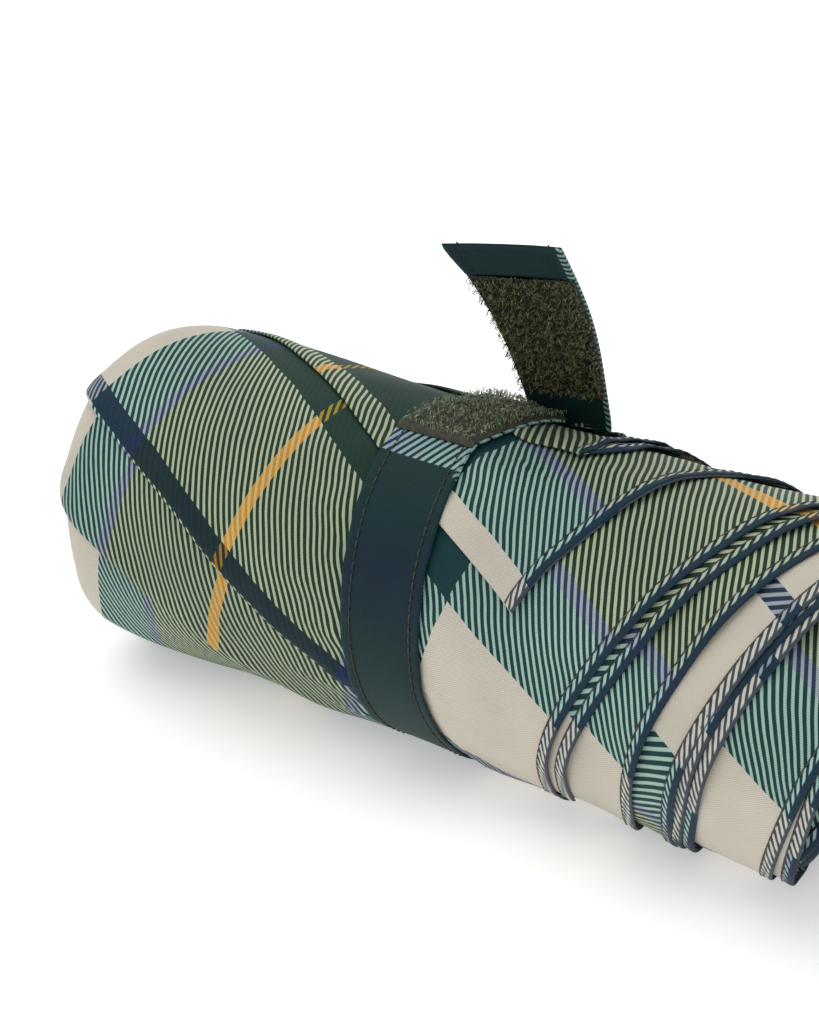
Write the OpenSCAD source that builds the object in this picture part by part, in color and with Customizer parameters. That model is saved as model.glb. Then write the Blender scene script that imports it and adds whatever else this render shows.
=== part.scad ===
// Compact folding umbrella, closed and loosely rolled, lying on its side.
// +X runs along the shaft from the crown to the handle, and +Z is up. The origin is on the floor,
// under the middle of the umbrella's length. The shaft's axis is at height axis_h.

/* [Whole umbrella] */
// Length from the top cap to the handle's end cap
total_len = 290; // [286:1:296]
// Number of ribs, and of canopy panels
ribs = 8; // [8]

/* [Rolled canopy] */
// Radius of the rolled cloth
roll_r = 39; // [37:0.5:41]
// Depth of the flat that the roll's weight presses into its underside
sag = 0.1; // [0.05:0.05:0.5]
// Radius of the hollow that the folded ribs fill
nest_r = 17; // [16.8:0.1:18]
// Turn of each panel from its inner edge to its free edge
panel_wrap = 120; // [90:5:150]

/* [Closure strap] */
// Width of the strap
strap_w = 20; // [18:0.5:24]
// Thickness of the strap round the roll
strap_t = 0.7; // [0.5:0.1:1]
// Distance from the top cap to the middle of the strap, in front where its fixed end turns
strap_from_cap = 83; // [80:0.5:86]
// How far the strap drifts towards the handle in one turn round the roll
strap_drift = 22; // [16:1:24]
// Length of the free end
tab_len = 62; // [56:1:66]
// Thickness of the free end
tab_t = 0.9; // [0.7:0.1:1.2]
// Slope of the free end's lower half
tab_slope = 116.5; // [112:0.5:122]
// Bend between the free end's two halves
tab_bend = 9.5; // [5:0.5:14]

/* [Shaft] */
// Outside radius of the outer tube
tube_r = 5.3; // [5.2:0.05:5.5]
// Wall of each tube
tube_wall = 0.4; // [0.35:0.05:0.45]
// Radial play between one tube and the next
tube_play = 0.06; // [0.03:0.01:0.08]

/* [Handle] */
// Radius of the grip
grip_r = 14.5; // [13:0.5:16]
// Length of the grip's straight stretch
grip_straight = 42; // [40:1:44]
// Radius of the cross hole for a wrist cord
cord_hole_r = 2; // [1.5:0.25:2.5]

/* [Hidden] */
RIB_IDS = [for (i = [1:ribs]) str(i)];

fine = 96;     // facets of the large round shapes
small = 32;    // facets of rivets, wires and holes
over = 1;      // how far a cutting shape runs past what it cuts
gap = 0.3;     // clearance between the panels

axis_h = roll_r - sag;
x_cap = -total_len / 2;
rib_step = 360 / ribs;

// Places along the shaft, from the crown to the handle
cap_h = 6.5;
x_cloth = x_cap + cap_h + 0.2;
cloth_t = 2;
x_crown = x_cloth + cloth_t + 0.2;
x_crown_pivot = x_crown + 3;
x_catch = x_crown + 18;
x_sections = x_crown + 38;
x_inner_pivot = x_cap + 17;
x_link_pivot = x_cap + 95;
x_runner = x_cap + 171;
x_runner_pivot = x_runner + 2.5;
x_rib_joint = x_cap + 183;
x_collar = x_cap + 203;
x_tip = x_collar + 3;
x_cloth_end = x_cap + 220;
x_grip = x_cap + 229;
x_end_cap = total_len / 2 - 7;
x_turn = x_cap + strap_from_cap;

// Distances from the shaft's axis
crown_pivot_r = 10.4;
runner_pivot_r = 7.9;
link_r = 12.6;
outer_rib_r = 14.9;
collar_r = 20;
collar_wall = 1.6;
strap_r = roll_r + 0.3;

// Rivets, wires and channels
rivet_r = 0.5;
wire_r = 0.5;
link_wire_r = 0.6;
eye_r = wire_r + 0.05;
channel_wall = 0.4;
top_rib_w = 2.6;
ear_w = 3.6;

// Free end of the strap: its two hinges, as [y, z] from the shaft's axis
tab_start = [20.6, 34];
stub_len = 5;
tab_hinge = tab_start + stub_len * [cos(tab_slope), sin(tab_slope)];
root_len = (tab_len - stub_len) / 2;
tip_slope = tab_slope + tab_bend;
tab_knee = tab_hinge + root_len * [cos(tab_slope), sin(tab_slope)];
loop_t = 0.9;
loop_len = 41;
loop_start = 4;
hook_t = 1.3;
band_from = 64;     // angle of the fixed end
band_turn = 104;    // angle where the fixed end, with its hook patch, turns into the band
band_to = 418.6;    // angle where the free end leaves the roll
fixed_drift = 8;    // how far the fixed end drifts along the shaft, from band_from to band_turn
x_tab = x_turn + strap_drift * (band_to - band_turn) / 360;
stub_gap = 0.3;     // from a hinge of the free end to each fabric slab beside it
knee_gap = 0.45;    // from the knee to each fabric slab beside it
knee_loop_gap = 1.1;    // from the knee to each half of the loop patch

// Shaft sections, and the catch
middle_r = tube_r - tube_wall - tube_play;
inner_r = middle_r - tube_wall - tube_play;
catch_w = 2;
catch_len = 8;
catch_phi = rib_step / 2;

// Middle rib
middle_rib_w = 2.2;
middle_rib_r0 = 11.7;
middle_rib_r1 = 13.3;

// Moves shapes drawn round Z onto the shaft's axis, with Z turned to +X.
module on_shaft(x = 0) {
    translate([x, 0, axis_h]) rotate([0, 90, 0]) children();
}

// Turns what is drawn along the local +X to the direction phi, measured from +Y towards +Z.
module at_angle(phi) {
    rotate([0, 0, phi + 90]) children();
}

// A ring or a tube on the shaft's axis, from x0 to x1.
module ring(x0, x1, r_out, r_in, facets = fine) {
    on_shaft(x0) difference() {
        cylinder(r = r_out, h = x1 - x0, $fn = facets);
        translate([0, 0, -over]) cylinder(r = r_in, h = x1 - x0 + 2 * over, $fn = facets);
    }
}

// Everything below the floor, to press a flat into what rests on it.
module below_floor() {
    translate([-total_len, -total_len, -total_len]) cube([2 * total_len, 2 * total_len, total_len]);
}

// ---- Crown and top cap ----

module top_cap() {
    dome_r = 11;
    rim_t = 2.3;
    stem_r = 2.4;
    dome_h = cap_h - rim_t;
    dome = [for (t = [0:10:90]) [dome_r * cos(t), -dome_h * sin(t)]];
    color("#1c2b2c") on_shaft(x_cap + dome_h) {
        rotate_extrude($fn = fine) polygon(concat([[0, rim_t], [dome_r, rim_t]], dome));
        cylinder(r = stem_r, h = rim_t + cloth_t + 5, $fn = small);
    }
}

module crown() {
    flange_r = 11.6;
    flange_t = 6;
    sleeve_r = 7;
    sleeve_len = 12;
    slot_w = top_rib_w + 0.4;
    slot_r = 8;
    stem_bore_r = 2.45;
    tube_depth = 6;
    color("#20282a") on_shaft(x_crown) difference() {
        union() {
            cylinder(r = flange_r, h = flange_t, $fn = fine);
            cylinder(r = sleeve_r, h = sleeve_len, $fn = fine);
        }
        translate([0, 0, -over]) cylinder(r = stem_bore_r, h = sleeve_len, $fn = small);
        translate([0, 0, tube_depth]) cylinder(r = tube_r + 0.02, h = sleeve_len, $fn = fine);
        for (i = [0:ribs - 1]) at_angle(i * rib_step)
            translate([slot_r, -slot_w / 2, -over]) cube([flange_r, slot_w, flange_t + 2 * over]);
        translate([0, 0, x_crown_pivot - x_crown]) wire_groove(flange_r, crown_pivot_r);
    }
}

// The groove round a crown or a runner that holds its binding wire.
module wire_groove(flange_r, pivot_r) {
    groove_w = 2 * wire_r + 0.1;
    rotate_extrude($fn = fine)
        translate([pivot_r - wire_r - 0.05, -groove_w / 2]) square([flange_r, groove_w]);
}

// The two wires that the top ribs and the stretchers turn on.
module pivot_wires() {
    places = [[x_crown_pivot, crown_pivot_r], [x_runner_pivot, runner_pivot_r]];
    color("#b9bcbc") for (place = places)
        on_shaft(place[0]) rotate_extrude($fn = fine)
            translate([place[1], 0]) circle(r = wire_r, $fn = small);
}

// ---- Shaft ----

module outer_tube() {
    slot_play = 0.15;
    color("#c4c7c6") difference() {
        ring(x_crown + 6.2, x_collar + 1, tube_r, tube_r - tube_wall);
        on_shaft(x_catch - slot_play) at_angle(catch_phi) translate([0, -catch_w / 2 - slot_play, 0])
            cube([2 * tube_r, catch_w + 2 * slot_play, catch_len + 2 * slot_play]);
    }
}

// The wedge that stands out of the outer tube and holds the runner up, on its leaf spring.
module top_catch() {
    leaf_t = 0.4;
    leaf_r = 3.4;
    nose_r = 6.7;
    heel_r = 5;
    leaf_run = 6;
    wedge = [[leaf_r, 0], [nose_r, 0.4], [nose_r, 1.2], [heel_r, catch_len], [leaf_r, catch_len]];
    color("#a9adad") on_shaft(x_catch) at_angle(catch_phi) {
        rotate([90, 0, 0]) translate([0, 0, -catch_w / 2]) linear_extrude(catch_w) polygon(wedge);
        translate([leaf_r - leaf_t, -catch_w / 2, -leaf_run])
            cube([leaf_t, catch_w, catch_len + 2 * leaf_run]);
    }
}

module middle_tube() {
    color("#c4c7c6") ring(x_sections, x_collar + 6, middle_r, middle_r - tube_wall);
}

module inner_tube() {
    color("#c4c7c6") ring(x_sections + 4, x_grip + 32, inner_r, inner_r - tube_wall);
}

module runner() {
    flange_r = 9;
    flange_t = 5;
    sleeve_r = 7.2;
    sleeve_len = 31;
    slot_w = top_rib_w + 0.2;
    slot_r = 6.4;
    slot_run = 0.8;
    color("#20282a") on_shaft(x_runner) difference() {
        union() {
            cylinder(r = flange_r, h = flange_t, $fn = fine);
            cylinder(r = sleeve_r, h = sleeve_len, $fn = fine);
        }
        translate([0, 0, -over]) cylinder(r = tube_r + tube_play, h = sleeve_len + 2 * over, $fn = fine);
        for (i = [0:ribs - 1]) at_angle(i * rib_step)
            translate([slot_r, -slot_w / 2, -over]) cube([flange_r, slot_w, flange_t + over + slot_run]);
        translate([0, 0, x_runner_pivot - x_runner]) wire_groove(flange_r, runner_pivot_r);
    }
}

// ---- Ribs: every set lies folded in three along the shaft, at the angle of its rib ----

// A channel along the shaft from x0 to x1, open towards the shaft, between two distances from it.
module channel(x0, x1, r0, r1, w) {
    on_shaft(x0) difference() {
        translate([r0, -w / 2, 0]) cube([r1 - r0, w, x1 - x0]);
        translate([r0 - over, -w / 2 + channel_wall, -over])
            cube([r1 - r0 - channel_wall + over, w - 2 * channel_wall, x1 - x0 + 2 * over]);
    }
}

// A pair of ears, one on each side of a rib, between two distances from the shaft.
module ears(x, r0, r1) {
    ear_len = 5;
    for (side = [-1, 1]) on_shaft(x - ear_len / 2)
        translate([r0, side * (ear_w / 2 - channel_wall / 2) - channel_wall / 2, 0])
            cube([r1 - r0, channel_wall, ear_len]);
}

// A hole across a rib, for a rivet or a binding wire.
module cross_hole(x, r, hole_r) {
    on_shaft(x) translate([r, 0, 0]) rotate([90, 0, 0])
        cylinder(r = hole_r, h = 2 * ear_w, center = true, $fn = small);
}

// Turns a rib that is drawn for rib 1 round the shaft to its own place.
module rib_place(i) {
    translate([0, 0, axis_h]) rotate([180 + (i - 1) * rib_step, 0, 0])
        translate([0, 0, -axis_h]) children();
}

module top_rib(i) {
    color("#9a9e9e") rib_place(i) difference() {
        channel(x_crown_pivot - 1.6, x_rib_joint + 1.6, crown_pivot_r - 1, crown_pivot_r + 1, top_rib_w);
        cross_hole(x_crown_pivot, crown_pivot_r, eye_r);
        cross_hole(x_link_pivot, crown_pivot_r, rivet_r + 0.05);
        cross_hole(x_rib_joint, crown_pivot_r, rivet_r + 0.05);
    }
}

module stretcher(i) {
    cheek_t = 0.3;
    color("#9a9e9e") rib_place(i) difference() {
        union() {
            channel(x_link_pivot - 1, x_runner_pivot + 1.2, runner_pivot_r - 1, runner_pivot_r + 1,
                top_rib_w);
            ears(x_link_pivot, runner_pivot_r - 0.5, crown_pivot_r + 1);
            // The cheeks that join the ears to the channel
            for (side = [-1, 1]) on_shaft(x_link_pivot - 1)
                translate([runner_pivot_r - 0.5, side * (top_rib_w / 2 + 0.05) - cheek_t / 2, 0])
                    cube([1.2, cheek_t, 2]);
        }
        cross_hole(x_runner_pivot, runner_pivot_r, eye_r);
        cross_hole(x_link_pivot, crown_pivot_r, rivet_r + 0.05);
    }
}

module middle_rib(i) {
    color("#9a9e9e") rib_place(i) difference() {
        union() {
            channel(x_inner_pivot - 1.2, x_rib_joint + 1.2, middle_rib_r0, middle_rib_r1, middle_rib_w);
            ears(x_rib_joint, crown_pivot_r - 1, middle_rib_r1);
            bridge(x_rib_joint, middle_rib_r1);
            ears(x_inner_pivot, middle_rib_r0, outer_rib_r + 0.9);
            bridge(x_inner_pivot, middle_rib_r0 + channel_wall);
        }
        cross_hole(x_rib_joint, crown_pivot_r, rivet_r + 0.05);
        cross_hole(x_inner_pivot, outer_rib_r, rivet_r + 0.05);
    }
}

// The plate that joins a pair of ears across the rib, on their side at the distance r.
module bridge(x, r) {
    on_shaft(x - 1) translate([r - channel_wall, -ear_w / 2, 0]) cube([channel_wall, ear_w, 2]);
}

module outer_rib(i) {
    wire_rib_r = 0.9;
    eye_block = 2.4;
    color("#8b8f90") rib_place(i) difference() {
        union() {
            on_shaft(x_inner_pivot) translate([outer_rib_r, 0, 0])
                cylinder(r = wire_rib_r, h = x_tip - x_inner_pivot + 4, $fn = small);
            on_shaft(x_inner_pivot - eye_block / 2) translate([outer_rib_r - 0.8, -eye_block / 2, 0])
                cube([1.6, eye_block, 1.6 * eye_block]);
        }
        cross_hole(x_inner_pivot, outer_rib_r, rivet_r + 0.05);
    }
}

// Two wires to a rib: one works the middle rib from the stretcher, one the outer rib from the top rib.
module link_wires() {
    side_r = ear_w / 2 + link_wire_r + 0.2;
    runs = [
        [x_link_pivot + 6, x_rib_joint - 6, crown_pivot_r, 1],
        [x_inner_pivot + 6, x_rib_joint - 4, link_r, -1]
    ];
    color("#b9bcbc") for (i = [1:ribs], run = runs)
        rib_place(i) on_shaft(run[0]) translate([run[2], run[3] * side_r, 0])
            cylinder(r = link_wire_r, h = run[1] - run[0], $fn = small);
}

module rivets() {
    head_r = 0.9;
    head_t = 0.35;
    places = [[x_link_pivot, crown_pivot_r], [x_rib_joint, crown_pivot_r], [x_inner_pivot, outer_rib_r]];
    color("#cfd1d0") for (i = [1:ribs], place = places)
        rib_place(i) on_shaft(place[0]) translate([place[1], 0, 0]) rotate([90, 0, 0]) {
            cylinder(r = rivet_r, h = ear_w + 0.1, center = true, $fn = small);
            for (side = [-1, 1]) translate([0, 0, side * (ear_w / 2 + head_t / 2 + 0.02)])
                cylinder(r = head_r, h = head_t, center = true, $fn = small);
        }
}

module rib_tips() {
    tip_r = 1.6;
    tip_len = 9;
    color("#2a3133") for (i = [1:ribs])
        rib_place(i) on_shaft(x_tip) translate([outer_rib_r, 0, 0]) difference() {
            union() {
                cylinder(r = tip_r, h = tip_len - tip_r, $fn = small);
                translate([0, 0, tip_len - tip_r]) sphere(r = tip_r, $fn = small);
            }
            translate([0, 0, -over]) cylinder(r = 0.95, h = over + 4.5, $fn = small);
        }
}

// ---- Canopy: each panel is a thick leaf that winds outwards from the ribs to the outside ----

// Outline of the whole roll in the plane of its axis, as [distance from the shaft, place along it].
crown_round_r = 15;
crown_round_x = 12;
end_round = 3;
end_taper = 2.5;
strap_dip = 0.9;
dip_start = x_turn - strap_w / 2 - 1 - x_cloth;
dip_end = x_tab + strap_w / 2 + 1 - x_cloth;
roll_section = concat(
    [[3, 0]],
    [for (t = [0:10:90]) [roll_r - crown_round_r * (1 - sin(t)), crown_round_x * (1 - cos(t))]],
    [
        [roll_r, dip_start - 1.4], [roll_r - strap_dip, dip_start],
        [roll_r - strap_dip, dip_end], [roll_r, dip_end + 1.4],
        [roll_r, x_rib_joint - x_cloth - 30],
        [roll_r - end_taper, x_cloth_end - x_cloth - end_round],
        [roll_r - end_taper - end_round, x_cloth_end - x_cloth],
        [collar_r + 1, x_cloth_end - x_cloth], [collar_r + 1, x_collar - x_cloth - 1],
        [nest_r, x_collar - x_cloth - 1], [nest_r, cloth_t], [3, cloth_t]
    ]
);

// A panel's edge winds from the nest to the outside; t goes from 0 to 1 along it.
function wind(t, turn) =
    let (r = nest_r + (roll_r - nest_r) * t, a = turn + panel_wrap * t)
    [r * cos(a), r * sin(a)];

module gore(i) {
    turn = (i - 1) * rib_step;
    gap_turn = gap * 180 / (3.14159 * nest_r);
    steps = 8;
    leaf = concat(
        [[0, 0]],
        [for (k = [0:steps + 1]) wind((k - 0.5) / steps, turn)],
        [for (k = [steps + 1:-1:0]) wind((k - 0.5) / steps, turn + rib_step - gap_turn)]
    );
    color(i % 2 == 0 ? "#6f9c8f" : "#cfc5b2") difference() {
        on_shaft(x_cloth) intersection() {
            translate([0, 0, -over]) linear_extrude(x_cloth_end - x_cloth + 2 * over) at_angle(0)
                polygon(leaf);
            rotate_extrude($fn = fine) polygon(roll_section);
        }
        below_floor();
    }
}

// ---- Closure strap ----

// Where the middle of the strap lies along the shaft, at the angle phi.
function strap_x(phi) = phi < band_turn
    ? x_turn + fixed_drift * (band_turn - phi) / (band_turn - band_from)
    : x_turn + strap_drift * (phi - band_turn) / 360;

// A band that winds round the roll in short arcs, each a step along the shaft from the last.
// Every second arc stands a little further out, so that no two share a surface.
module winding(from, to, arcs, r, t, w) {
    arc = (to - from) / arcs;
    lap = 1;
    lift = 0.03;
    for (k = [0:arcs - 1])
        on_shaft(strap_x(from + (k + 0.5) * arc) - w / 2) at_angle(from + k * arc)
            rotate_extrude(angle = k < arcs - 1 ? arc + lap : arc, $fn = fine)
                translate([r + (k % 2) * lift, 0]) square([t, w]);
}

// A flat slab that stands across the shaft, from the point p, along the direction slope.
module slab(p, slope, from, len, side, t, w) {
    translate([x_tab - w / 2, p[0], axis_h + p[1]]) rotate([slope, 0, 0])
        translate([0, from, side]) cube([w, len, t]);
}

module strap_band() {
    stub_overlap = 0.9;
    color("#1f4d50") difference() {
        union() {
            winding(band_from, band_turn, 2, strap_r - strap_t, strap_t, strap_w);
            winding(band_turn, band_to, 7, strap_r - strap_t - 0.01, strap_t, strap_w);
            slab(tab_start, tab_slope, -stub_overlap, stub_len + stub_overlap - stub_gap,
                -tab_t / 2, tab_t, strap_w - 0.2);
        }
        below_floor();
    }
}

module hook_patch() {
    color("#3b4030") winding(band_from, band_turn, 2, strap_r + 0.08, hook_t, strap_w - 0.6);
}

// The free end is two slabs, which bend over the knee between them.
module tab_root() {
    color("#1f4d50") slab(tab_hinge, tab_slope, stub_gap, root_len - stub_gap - knee_gap,
        -tab_t / 2, tab_t, strap_w);
}

module tab_tip() {
    color("#1f4d50") slab(tab_knee, tip_slope, knee_gap, root_len - knee_gap, -tab_t / 2, tab_t, strap_w);
}

module loop_patch_root() {
    color("#3f4434") slab(tab_hinge, tab_slope, loop_start, root_len - loop_start - knee_loop_gap,
        tab_t / 2 + 0.05, loop_t, strap_w - 0.6);
}

module loop_patch_tip() {
    loop_rest = loop_len - (root_len - loop_start);
    color("#3f4434") slab(tab_knee, tip_slope, knee_loop_gap, loop_rest - knee_loop_gap,
        tab_t / 2 + 0.05, loop_t, strap_w - 0.6);
}

// ---- Handle ----

module handle_collar() {
    cup_depth = 16;
    floor_t = 8;
    neck_r = grip_r - 2.2;
    outline = [
        [inner_r + 0.03, x_grip - x_collar], [inner_r + 0.03, cup_depth],
        [collar_r - collar_wall, cup_depth], [collar_r - collar_wall, 0],
        [collar_r, 0], [collar_r, cup_depth + 2],
        [collar_r - 1.5, cup_depth + 5], [grip_r, cup_depth + floor_t + 2], [neck_r, x_grip - x_collar]
    ];
    color("#182022") on_shaft(x_collar) rotate_extrude($fn = fine) polygon(outline);
}

module handle_grip() {
    grip_len = x_end_cap - x_grip - 0.1;
    bore_len = 33;
    flare = 1.5;
    lip = 2;
    cord_hole_at = 38;
    outline = [
        [0, 0], [grip_r + flare, 0], [grip_r + flare, lip],
        [grip_r, grip_len - grip_straight], [grip_r, grip_len], [0, grip_len]
    ];
    color("#182022") on_shaft(x_grip + 0.1) difference() {
        rotate_extrude($fn = fine) polygon(outline);
        translate([0, 0, -over]) cylinder(r = inner_r + 0.03, h = bore_len + over, $fn = fine);
        translate([0, 0, cord_hole_at]) rotate([90, 0, 0])
            cylinder(r = cord_hole_r, h = 4 * grip_r, center = true, $fn = small);
    }
}

module handle_end_cap() {
    cap_r = grip_r - 0.4;
    cap_t = total_len / 2 - x_end_cap;
    bevel = 1.6;
    color("#2b3436") on_shaft(x_end_cap) rotate_extrude($fn = fine)
        polygon([[0, 0], [cap_r, 0], [cap_r, cap_t - bevel], [cap_r - bevel, cap_t], [0, cap_t]]);
}

top_cap();
crown();
pivot_wires();
outer_tube();
runner();
top_catch();
middle_tube();
inner_tube();
for (i = [1:ribs]) {
    top_rib(i);
    stretcher(i);
    middle_rib(i);
    outer_rib(i);
    gore(i);
}
link_wires();
rivets();
rib_tips();
strap_band();
hook_patch();
tab_root();
tab_tip();
loop_patch_root();
loop_patch_tip();
handle_collar();
handle_grip();
handle_end_cap();
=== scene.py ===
"""Looks of a compact folding umbrella, closed and loosely rolled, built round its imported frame.

Lengths in this file are millimetres until a mesh is made. The roll is described by x, the place along
the shaft, and phi, the angle round it from the back (+Y) towards the top (+Z). Unrolled, it is a plane
with x along the shaft and s = ROLL_R * phi across it, and the panels' creases are parallel lines there.
"""

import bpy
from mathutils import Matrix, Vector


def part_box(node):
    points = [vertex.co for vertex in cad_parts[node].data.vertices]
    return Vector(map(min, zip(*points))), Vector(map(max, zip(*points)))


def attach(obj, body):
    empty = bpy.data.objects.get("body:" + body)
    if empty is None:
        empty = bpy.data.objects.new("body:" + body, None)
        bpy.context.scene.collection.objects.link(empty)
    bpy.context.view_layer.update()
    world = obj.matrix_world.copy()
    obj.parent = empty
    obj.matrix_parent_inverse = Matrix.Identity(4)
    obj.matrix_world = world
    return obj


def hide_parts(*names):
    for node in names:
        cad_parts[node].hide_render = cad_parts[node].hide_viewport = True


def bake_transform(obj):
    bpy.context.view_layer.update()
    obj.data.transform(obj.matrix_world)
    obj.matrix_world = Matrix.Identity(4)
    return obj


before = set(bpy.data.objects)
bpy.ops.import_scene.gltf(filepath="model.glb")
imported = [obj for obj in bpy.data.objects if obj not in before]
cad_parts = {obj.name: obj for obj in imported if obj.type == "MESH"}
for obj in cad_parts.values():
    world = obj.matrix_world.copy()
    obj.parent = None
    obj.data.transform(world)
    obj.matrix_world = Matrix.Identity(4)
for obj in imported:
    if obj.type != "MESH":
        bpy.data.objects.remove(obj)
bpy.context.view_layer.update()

import math

import bpy
import numpy as np
from mathutils import Vector

MM = 0.001
RANDOM = np.random.default_rng(8)


# ---------------------------------------------------------------- the frame's own dimensions

def box_mm(node):
    low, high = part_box(node)
    return np.array(low) / MM, np.array(high) / MM


GRIP_LOW, GRIP_HIGH = box_mm("handle_grip")
AXIS_H = (GRIP_LOW[2] + GRIP_HIGH[2]) / 2
ROLL_R = 39.0
TURN = 2 * math.pi * ROLL_R
CAP_LOW, _ = box_mm("top_cap")
BAND_LOW, _ = box_mm("strap_band")
TAB_LOW, TAB_HIGH = box_mm("tab_root")
COLLAR_LOW, _ = box_mm("handle_collar")


def smooth(t):
    t = np.clip(t, 0, 1)
    return t * t * (3 - 2 * t)


def distinct(values):
    """The different values in an array, and for each place in the array which of them it holds."""
    found, where = np.unique(values, return_inverse=True)
    return found, where.reshape(np.shape(values))


def polar(x, phi, r):
    """Points in millimetres, in the frame, at the place x, the angle phi in radians and the radius r."""
    return np.stack([x + 0 * phi, r * np.cos(phi), AXIS_H + r * np.sin(phi)], -1)


# ---------------------------------------------------------------- materials

def linear(colour):
    """An sRGB colour, from 0 to 255, as linear values for a shader."""
    c = np.array(colour) / 255
    return tuple(np.where(c < 0.04045, c / 12.92, ((c + 0.055) / 1.055) ** 2.4)) + (1.0,)


CREAM = (206, 199, 184)
NAVY = (28, 48, 74)
TEAL = (20, 58, 60)
GREEN = (30, 52, 33)
VIOLET = (40, 56, 88)
MUSTARD = (206, 142, 40)
STITCH = (52, 40, 28)


class Shader:
    """A node material with short calls for the nodes that this scene needs."""

    def __init__(self, name, roughness=0.6, metallic=0.0, specular=0.4, sheen=0.0):
        self.material = bpy.data.materials.new(name)
        self.material.use_nodes = True
        self.nodes = self.material.node_tree.nodes
        self.links = self.material.node_tree.links
        self.surface = self.nodes["Principled BSDF"]
        self.surface.inputs["Roughness"].default_value = roughness
        self.surface.inputs["Metallic"].default_value = metallic
        self.surface.inputs["Specular IOR Level"].default_value = specular
        self.surface.inputs["Sheen Weight"].default_value = sheen
        self.surface.inputs["Sheen Roughness"].default_value = 0.4

    def put(self, socket, value):
        if isinstance(value, bpy.types.NodeSocket):
            self.links.new(value, socket)
        else:
            socket.default_value = value

    def math(self, operation, a, b=0.0, c=0.0):
        node = self.nodes.new("ShaderNodeMath")
        node.operation = operation
        for socket, value in zip(node.inputs, (a, b, c)):
            self.put(socket, value)
        return node.outputs[0]

    def uv(self, name="cloth"):
        node = self.nodes.new("ShaderNodeUVMap")
        node.uv_map = name
        split = self.nodes.new("ShaderNodeSeparateXYZ")
        self.links.new(node.outputs[0], split.inputs[0])
        return split.outputs[0], split.outputs[1]

    def place(self):
        return self.nodes.new("ShaderNodeTexCoord").outputs["Object"]

    def noise(self, scale, detail=3.0, vector=None):
        node = self.nodes.new("ShaderNodeTexNoise")
        node.inputs["Scale"].default_value = scale
        node.inputs["Detail"].default_value = detail
        self.links.new(vector or self.place(), node.inputs["Vector"])
        return node.outputs[0]

    def ramp(self, value, stops, sharp=False):
        """stops are (position, sRGB colour) pairs."""
        node = self.nodes.new("ShaderNodeValToRGB")
        node.color_ramp.interpolation = "CONSTANT" if sharp else "LINEAR"
        elements = node.color_ramp.elements
        while len(elements) < len(stops):
            elements.new(0.5)
        for element, (position, colour) in zip(elements, stops):
            element.position = position
            element.color = linear(colour)
        self.put(node.inputs[0], value)
        return node.outputs[0]

    def mix(self, share, a, b, kind="MIX"):
        node = self.nodes.new("ShaderNodeMix")
        node.data_type = "RGBA"
        node.blend_type = kind
        self.put(node.inputs[0], share)
        self.put(node.inputs[6], a)
        self.put(node.inputs[7], b)
        return node.outputs[2]

    def waves(self, value, pitch, sharpness=4.0):
        """A band pattern of the given pitch along value, from 0 to 1, with edges as sharp as asked."""
        wave = self.math("SINE", self.math("MULTIPLY", value, 2 * math.pi / pitch))
        return self.math("MULTIPLY_ADD", wave, sharpness, 0.5)

    def grey(self, colour):
        node = self.nodes.new("ShaderNodeRGBToBW")
        self.put(node.inputs[0], colour)
        return node.outputs[0]

    def clamp(self, value):
        node = self.nodes.new("ShaderNodeClamp")
        self.put(node.inputs[0], value)
        return node.outputs[0]

    def bump(self, height, strength=0.3, distance=0.0002):
        node = self.nodes.new("ShaderNodeBump")
        node.inputs["Strength"].default_value = strength
        node.inputs["Distance"].default_value = distance
        self.links.new(height, node.inputs["Height"])
        self.links.new(node.outputs[0], self.surface.inputs["Normal"])

    def colour(self, value):
        self.put(self.surface.inputs["Base Color"], value)
        return self.material


def half_sett(half, cream_end):
    """Where each colour of the tartan ends, from the middle of a mustard line to the middle of a navy one."""
    ends = [(0.0019, MUSTARD), (0.044, GREEN), (0.0477, VIOLET), (0.0685, TEAL), (cream_end, CREAM),
            (half, NAVY)]
    starts = [0.0] + [end / half for end, _ in ends[:-1]]
    return [(start, colour) for start, (_, colour) in zip(starts, ends)]


TINT = {MUSTARD: (255, 236, 176), GREEN: (222, 246, 226), VIOLET: (200, 220, 246), TEAL: (204, 252, 255),
        CREAM: (255, 255, 255), NAVY: (196, 214, 240)}
TWILL = 1.18
SETT_V = 0.1053
SETT_U = 0.1650


def print_colours(m, u, v):
    """The two colours that alternate where the tartan's lines cross, at a place in the flat cloth."""
    cloth = []
    for value, middle, half, cream_end in ((v, 0.042, SETT_V, 0.1028), (u, -0.0839, SETT_U, 0.1632)):
        share = m.math("DIVIDE", m.math("PINGPONG", m.math("SUBTRACT", value, middle), half), half)
        stops = half_sett(half, cream_end)
        tints = [(position, TINT[colour]) for position, colour in stops]
        cloth.append((m.ramp(share, stops, True), m.ramp(share, tints, True)))
    (warp, warp_tint), (weft, weft_tint) = cloth
    return m.mix(1.0, warp, weft_tint, "MULTIPLY"), m.mix(1.0, weft, warp_tint, "MULTIPLY")


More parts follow.
